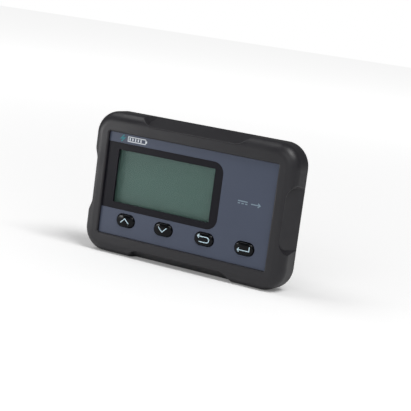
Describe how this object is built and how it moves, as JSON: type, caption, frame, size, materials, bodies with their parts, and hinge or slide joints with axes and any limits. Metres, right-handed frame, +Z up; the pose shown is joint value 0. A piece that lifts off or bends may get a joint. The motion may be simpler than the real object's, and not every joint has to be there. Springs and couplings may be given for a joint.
{
  "type": "remote lcd readout",
  "caption": "Flush-mount remote LCD readout: charcoal shell with scooped sides, slate panel, dark display frame, oval sprung keys below it and a modular jack behind.",
  "frame": {"origin": "middle of the bounding box's bottom face, on the surface the lower edge stands on", "axes": "+X to the reader's right, +Y from the display towards the back, +Z up"},
  "size_m": [0.1, 0.025, 0.0625],
  "materials": {
    "housing_plastic": "fine-textured charcoal ABS",
    "slate_panel": "smooth slate-grey printed panel",
    "bezel_plastic": "dark satin frame",
    "clear_window": "clear acrylic, anti-glare",
    "display_film": "anti-glare polariser film",
    "display_glass": "soda-lime glass",
    "reflector_film": "silver-green transflective film",
    "clear_acrylic": "clear moulded acrylic",
    "led_resin": "phosphor resin in a white cup",
    "zebra_rubber": "layered silicone",
    "white_plastic": "satin white",
    "board_laminate": "green solder mask",
    "black_plastic": "satin black",
    "key_gloss": "polished black",
    "plunger_plastic": "black nylon",
    "chip_epoxy": "matt moulding compound",
    "can_steel": "drawn can",
    "ferrite": "sintered ferrite",
    "can_aluminium": "drawn can",
    "capacitor_ceramic": "fired ceramic with tinned ends",
    "resistor_ceramic": "black glaze with tinned ends",
    "tinned_lead": "tinned copper",
    "contact_brass": "gold-flashed wire",
    "screw_steel": "black zinc",
    "insert_brass": "turned"
  },
  "bodies": {
    "housing": {"front_housing": "housing_plastic", "rear_cover": "housing_plastic", "faceplate": "slate_panel", "lcd_bezel": "bezel_plastic", "lcd_window": "clear_window", "front_polariser": "display_film", "front_glass": "display_glass", "rear_glass": "display_glass", "rear_polariser": "reflector_film", "light_guide": "clear_acrylic", "backlight_leds": "led_resin", "zebra_strips": "zebra_rubber", "lcd_holder": "white_plastic", "main_pcb": "board_laminate", "switch_bodies": "black_plastic", "microcontroller": "chip_epoxy", "display_driver": "chip_epoxy", "transceiver": "chip_epoxy", "crystal": "can_steel", "regulator": "chip_epoxy", "inductor": "ferrite", "smoothing_capacitors": "can_aluminium", "chip_capacitors": "capacitor_ceramic", "chip_resistors": "resistor_ceramic", "chip_leads": "tinned_lead", "modular_jack": "black_plastic", "jack_contacts": "contact_brass", "case_screws": "screw_steel", "pcb_screws": "screw_steel", "mount_inserts": "insert_brass"},
    "up_button": {"key_up": "key_gloss", "plunger_up": "plunger_plastic"},
    "down_button": {"key_down": "key_gloss", "plunger_down": "plunger_plastic"},
    "back_button": {"key_back": "key_gloss", "plunger_back": "plunger_plastic"},
    "enter_button": {"key_enter": "key_gloss", "plunger_enter": "plunger_plastic"}
  },
  "joints": [
    {"name": "press_up", "type": "slide", "parent": "housing", "child": "up_button", "axis": [0, 1, 0], "range_m": [0, 0.0005], "stiffness_N_per_m": 2500},
    {"name": "press_down", "type": "slide", "parent": "housing", "child": "down_button", "axis": [0, 1, 0], "range_m": [0, 0.0005], "stiffness_N_per_m": 2500},
    {"name": "press_back", "type": "slide", "parent": "housing", "child": "back_button", "axis": [0, 1, 0], "range_m": [0, 0.0005], "stiffness_N_per_m": 2500},
    {"name": "press_enter", "type": "slide", "parent": "housing", "child": "enter_button", "axis": [0, 1, 0], "range_m": [0, 0.0005], "stiffness_N_per_m": 2500}
  ]
}
